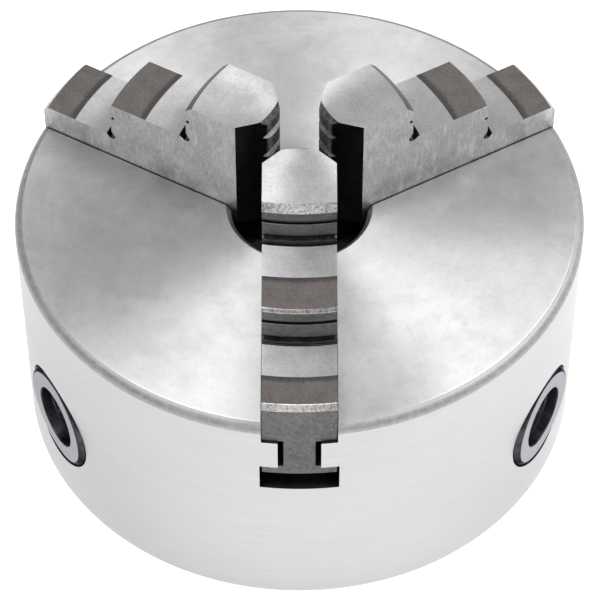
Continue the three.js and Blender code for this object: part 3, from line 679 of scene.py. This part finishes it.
def build_jaw(i, angle):
    b = PITCH / (2 * math.pi)
    jaw = prism("jaw_%d_visual" % i, plan(JAW_W), JAW_BLOCK - 1, 82.62)
    low, top = plan(JAW_W), plan(JAW_W, 0, NOSE_TOP)
    over = [(xb + 0.6 * (xb - xa) / 1.1, yb + 0.6 * (yb - ya) / 1.1) for (xa, ya), (xb, yb) in zip(low, top)]
    join(jaw, frustum("crown", low, over, 82.6, STEP1 + 0.6))
    common(jaw, lathe("outer", outer_profile(), 360))
    common(jaw, move(lathe("inner", inner_profile(), 540), x=-SHIFT))
    # V-shaped gripping grooves across the nose
    x = NOSE[0][0]
    for z in (78.8, 73.1, 67.4, 61.7):
        pts = [(x - 3, z - 2.1), (x + 0.1, z - 0.68), (x + 1.1, z - 0.06), (x + 1.1, z + 0.06), (x + 0.1, z + 1.32), (x - 3, z + 5.4)]
        n = len(pts)
        verts = [(px, -9, pz) for px, pz in pts] + [(px, 9, pz) for px, pz in pts]
        faces = [list(range(n)), [n + k for k in range(n)][::-1]] + [[k, n + k, n + (k + 1) % n, (k + 1) % n] for k in range(n)]
        cut(jaw, fix(make("grip", verts, faces)))
    tidy(jaw, 0.003, 0.15)
    bevel(jaw, 0.14, 2, 32)
    low = prism("flange", plan(FLANGE_W, 0.6), FLANGE_Z, FLANGE_TOP)
    join(low, prism("neck", plan(NECK_W, 0.3), FLANGE_TOP - 0.3, JAW_BLOCK + 0.6))
    common(low, lathe("end", [(0, 30), (JAW_END - 0.02, 30), (JAW_END - 0.02, 70), (0, 70)], 360))
    phase = SCROLL_START + b * rad(angle)
    k = math.ceil((14 - phase) / PITCH)
    w = FLANGE_W / 2
    rows = []
    while phase + k * PITCH <= 57.5:
        r = phase + k * PITCH
        pts = []
        for j in range(17):
            y = -w + 2 * w * j / 16
            pts.append((r + 1.175 - 23 + math.sqrt(23 ** 2 - (y - b) ** 2), y))
        for j in range(16, -1, -1):
            y = -w + 2 * w * j / 16
            pts.append((r - 1.175 - 45 + math.sqrt(45 ** 2 - (y - b) ** 2), y))
        rows.append(prism("tooth", pts, TOOTH_Z, FLANGE_Z + 0.3))
        k += 1
    for t in rows:
        common(t, prism("u", plan(FLANGE_W, 0.6), TOOTH_Z - 1, FLANGE_Z + 1))
        join(low, t)
    tidy(low, 0.003, 0.1)
    bevel(low, 0.12, 1, 32)
    join(jaw, low)

    def pick(c, n):
        r = math.hypot(c.x, c.y)
        q = math.hypot(c.x + SHIFT, c.y) - SHIFT
        if c.z < JAW_BLOCK - 0.02:
            if r > JAW_END - 0.4 and n.z < 0.5 and (n.x * c.x + n.y * c.y) > 0.5 * r:
                return 5
            return 6
        # Thin dark line on the bevels along the top edges of the sides.
        if abs(c.y) > JAW_W / 2 - 0.2 and 0.2 < n.z < 0.97 and abs(n.y) > 0.15 and r > 12:
            return 11
        # Painted shade on the crown bevels of the nose tip.
        if r < 14 and n.x < 0.2 and 0.3 < n.z < 0.997 and c.z > 82.55:
            return 13
        if abs(n.y) > 0.6 and abs(c.y) > JAW_W / 2 - 0.4 and abs(n.x) < 0.5:
            return 2
        out = (n.x * c.x + n.y * c.y) / max(r, 1e-6)
        if n.z > 0.94:
            if c.z > STEP1 - 0.05:
                return 0
            if abs(c.z - STEP2) < G + 0.05:
                return 1 if q > 34.86 else 0
            if abs(c.z - STEP3) < G + 0.05:
                return 1 if r > 53.66 else 0
        if r > JAW_END - 1.3:
            if n.z <= 0.3:
                return 5
            # Painted highlight along the top of the end chamfer; the side jaws get a wider strip.
            return 10 if c.z > STEP3 - 0.14 or (i > 1 and c.z > STEP3 - 0.6) else 4
        if n.z > 0.25 and out > 0.25:
            if STEP1 - 1.6 < c.z:
                # The front jaw keeps the lit chamfer; the side jaws get the painted-shade copy.
                return 4 if i == 1 else 12
            if STEP2 - 0.95 < c.z < STEP2 + 0.01 and r > 43:
                # Painted highlight on the lower part of the step-2 outer chamfer.
                return 10 if c.z < STEP2 - 0.55 else 4
        # Painted shade in the relief grooves at the feet of the step walls and in the hooked grooves across them.
        if (q < WALL12 + 1.9 and q > WALL12 - 1.2 and STEP2 - 1 < c.z < STEP2 + 1.45) or (r < WALL23 + 1.6 and r > WALL23 - 1.2 and STEP3 - 1 < c.z < STEP3 + 1.45):
            return 7
        if (q < WALL12 - 0.12 and r > 20 and 78.75 < c.z < 80.25) or (r < WALL23 - 0.12 and r > 42 and 69.65 < c.z < 71.0):
            return 7
        if r < 14 and n.x < 0.3:
            # Painted shade on the crown bevels of the nose tip.
            if c.z > 82.55 and n.z > 0.3:
                return 13
            # Painted shade on the cheeks; the rest of the nose is grip steel.
            return 8 if abs(n.y) > 0.55 and n.x > -0.8 and abs(c.y) > 2.7 else 9
        return 3

    paint(jaw, [J_GROUND, J_RAW, J_SIDE, J_WALL, J_EDGE, J_END, J_UNDER, J_RELIEF, J_CHEEK, J_GRIP, J_PAINTED_GLINT, J_DARK_EDGE, J_SHADE, J_CROWN], pick)
    smooth(jaw, 24)
    to_metres(jaw)
    jaw.rotation_euler = (0, 0, rad(angle))
    bpy.context.view_layer.update()
    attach(jaw, "jaw_%d" % i)
    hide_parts("jaw_%d" % i)
    return jaw


for i, a in enumerate(JAW_ANGLES, 1):
    build_jaw(i, a)


# ------------------------------------------------------------------ pinions
def pinion_teeth():
    """Bevel teeth tapering to the chuck axis; outline in (y, z) at 44 mm."""
    pitch_r, tip_r, root_r = 44 / 6, 44 / 6 + 1.15, 44 / 6 - 1.65
    half = [(root_r, 0.135), (6.6, 0.135), (pitch_r, 0.122), (7.65, 0.104), (7.95, 0.084), (tip_r - 0.12, 0.052), (tip_r, 0.036)]
    pts = []
    for k in range(10):
        a = math.pi / 2 - k * 2 * math.pi / 10
        pts += [(r * math.cos(a + h), r * math.sin(a + h)) for r, h in half]
        pts += [(r * math.cos(a - h), r * math.sin(a - h)) for r, h in reversed(half)]
    n = len(pts)
    x0, x1 = 36.8, 44.1
    verts = [(x0, y * x0 / 44, z * x0 / 44) for y, z in pts] + [(x1, y * x1 / 44, z * x1 / 44) for y, z in pts]
    faces = [list(range(n)), [n + i for i in range(n)][::-1]] + [[i, n + i, n + (i + 1) % n, (i + 1) % n] for i in range(n)]
    return fix(make("teeth", verts, faces))


def build_pinion(i, angle):
    F = 62.5
    prof = [(0, 43.7), (8.9, 44.5), (8.9, 49.2), (11.9, 49.2), (PINION_R, 49.4), (PINION_R, 54.2), (9.6, 54.3), (9.6, 57.7), (PINION_R, 57.8)]
    prof += [(PINION_R, F - 1.15), (PINION_R - 0.1, F - 0.85), (PINION_R - 0.42, F - 0.42), (PINION_R - 0.8, F - 0.12), (PINION_R - 1.15, F), (0, F)]
    p = lathe("pinion_%d_visual" % i, prof, 128, "X")
    join(p, pinion_teeth())
    s = 4.0
    cut(p, lathe("lead", [(0, F - 2.6), (6.6, F - 2.6), (6.9, F - 2.3), (7.1, F - 0.3), (7.2, F - 0.12), (7.3, F), (8.0, F + 1), (0, F + 1)], 96, "X"))
    sq = [(-s, -s + 0.4), (-s + 0.4, -s), (s - 0.4, -s), (s, -s + 0.4), (s, s - 0.4), (s - 0.4, s), (-s + 0.4, s), (-s, s - 0.4)]
    cut(p, prism_x("square", sq, F - 13, F + 1))
    # small lead-in on the square
    v = []
    for x, k in ((F - 3.2, 1.0), (F - 2.5, 1.16)):
        v += [(x, y * k, z * k) for y, z in sq]
    faces = [list(range(8)), [8 + q for q in range(8)][::-1]] + [[q, 8 + q, 8 + (q + 1) % 8, (q + 1) % 8] for q in range(8)]
    cut(p, fix(make("leadin", v, faces)))

    def pick(c, n):
        r = math.hypot(c.y, c.z)
        if c.x > F - 0.01 and n.x > 0.9 and r > 7.25:
            return 0
        # Painted shade on the sides and chamfer of the pinion.
        if r > 7.35:
            return 1
        # Painted shade inside the square socket.
        if c.x > 44.2:
            return 2
        return 1

    paint(p, [P_FACE, P_SIDE, P_HOLE], pick)
    smooth(p, 26)
    to_metres(p)
    p.location = (0, 0, PINION_Z * MM)
    p.rotation_euler = (0, 0, rad(angle))
    bpy.context.view_layer.update()
    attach(p, "pinion_%d" % i)
    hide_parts("pinion_%d" % i)


for i, a in enumerate(PINION_ANGLES, 1):
    build_pinion(i, a)


# ------------------------------------------------------------------ rear cover and its screws
def build_cover():
    c = lathe("back_cover_visual", [(15.75, 4.0), (46.55, 4.0), (47.05, 4.2), (47.2, 4.7), (47.2, 11.8), (15.6, 11.8), (15.6, 4.15)], 240)
    for k in range(6):
        a = rad(30 + 60 * k)
        x, y = 18.9 * math.cos(a), 18.9 * math.sin(a)
        cut(c, move(lathe("cs", [(0, 3), (3.3, 3), (3.0, 4.12), (1.75, 5.4), (1.75, 13), (0, 13)], 48), x, y))
    paint(c, [C_STEEL, SCROLL], lambda q, n: 0 if n.z < -0.5 and q.z < 4.3 else 1)
    smooth(c, 24)
    to_metres(c)
    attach(c, "body")
    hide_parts("back_cover")
    for k in range(6):
        a = rad(30 + 60 * k)
        s = lathe("cover_screw_%d_visual" % (k + 1), [(0, 4.2), (2.5, 4.2), (2.7, 4.28), (2.75, 4.42), (1.55, 5.6), (1.5, 6.0), (1.5, 19.6), (1.1, 20.1), (0, 20.1)], 48)
        hexa = prism("hex", [(1.15 * math.cos(rad(60 * j)), 1.15 * math.sin(rad(60 * j))) for j in range(6)], 3.9, 5.4)
        cut(s, hexa)
        bevel(s, 0.05, 1, 40)
        paint(s, [S_BLACK], lambda q, n: 0)
        smooth(s, 26)
        to_metres(s)
        s.location = (18.9 * math.cos(a) * MM, 18.9 * math.sin(a) * MM, 0)
        bpy.context.view_layer.update()
        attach(s, "body")
        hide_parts("cover_screw_%d" % (k + 1))


build_cover()


def build_retainers():
    for i, angle in enumerate(PINION_ANGLES, 1):
        x, y = 56 * math.cos(rad(angle)) * MM, 56 * math.sin(rad(angle)) * MM
        pin = lathe("retaining_pin_%d_visual" % i, [(0, 5.6), (2.0, 5.6), (2.25, 5.7), (2.35, 5.95), (2.35, 9.6), (1.5, 10.2), (1.5, 12.2), (1.42, 12.42), (1.2, 12.5), (0, 12.5)], 48)
        sc = lathe("retaining_screw_%d_visual" % i, [(0, 0.6), (1.9, 0.6), (2.1, 0.68), (2.35, 1.0), (2.35, 4.9), (1.95, 5.3), (0, 5.3)], 48)
        cut(sc, prism("hex", [(1.35 * math.cos(rad(60 * j)), 1.35 * math.sin(rad(60 * j))) for j in range(6)], 0.3, 3.0))
        for o, n in ((pin, "retaining_pin_%d" % i), (sc, "retaining_screw_%d" % i)):
            paint(o, [S_BLACK], lambda q, n_: 0)
            smooth(o, 26)
            to_metres(o)
            o.location = (x, y, 0)
            bpy.context.view_layer.update()
            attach(o, "body")
            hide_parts(n)


build_retainers()

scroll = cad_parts["scroll_plate"]
scroll.data.materials.clear()
scroll.data.materials.append(SCROLL)

# ------------------------------------------------------------------ floor, light, camera
floor = make("floor", [(-3, -3, -0.0003), (3, -3, -0.0003), (3, 3, -0.0003), (-3, 3, -0.0003)], [[0, 1, 2, 3]])
fm = bpy.data.materials.new("floor_pale")
fm.use_nodes = True
fb = fm.node_tree.nodes["Principled BSDF"]
fb.inputs["Base Color"].default_value = (0.86, 0.86, 0.86, 1)
fb.inputs["Roughness"].default_value = 0.9
fb.inputs["Specular IOR Level"].default_value = 0.1
fb.inputs["Emission Color"].default_value = (1, 1, 1, 1)
fb.inputs["Emission Strength"].default_value = 0.5
floor.data.materials.append(fm)

world = bpy.data.worlds.new("studio")
scene.world = world
world.use_nodes = True
wt = world.node_tree
bg = wt.nodes["Background"]
bg.inputs["Strength"].default_value = 0.5
bg.inputs["Color"].default_value = (1, 1, 1, 1)


def area(name, loc, aim, w, h, power, color=(1, 1, 1)):
    l = bpy.data.lights.new(name, "AREA")
    l.shape = "RECTANGLE"
    l.size, l.size_y = w, h
    l.energy = power
    l.color = color
    o = bpy.data.objects.new(name, l)
    scene.collection.objects.link(o)
    o.location = loc
    d = Vector(aim) - Vector(loc)
    o.rotation_euler = d.to_track_quat("-Z", "Y").to_euler()
    return o


area("soft_left", (-0.42, -0.1, 1.15), (0, 0, 0.05), 0.5, 0.5, 5.7)
area("soft_right", (0.8, -0.05, 1.15), (0, 0, 0.05), 0.6, 0.6, 9.0)
area("soft_front", (0.0, -1.0, 0.85), (0, 0, 0.05), 0.5, 0.4, 2.2)
area("soft_back_right", (0.95, 0.5, 0.85), (0, 0, 0.05), 0.5, 0.5, 3.6)

cam = bpy.data.cameras.new("camera")
co = bpy.data.objects.new("camera", cam)
scene.collection.objects.link(co)
co.location = (0, -0.430733, 0.534287)
co.rotation_euler = (rad(90 - 49.733), 0, 0)
cam.sensor_width = 36
cam.lens = 175.45
cam.shift_x = 0.0009
cam.clip_start = 0.01
cam.clip_end = 20
scene.camera = co
scene.view_settings.view_transform = "Standard"
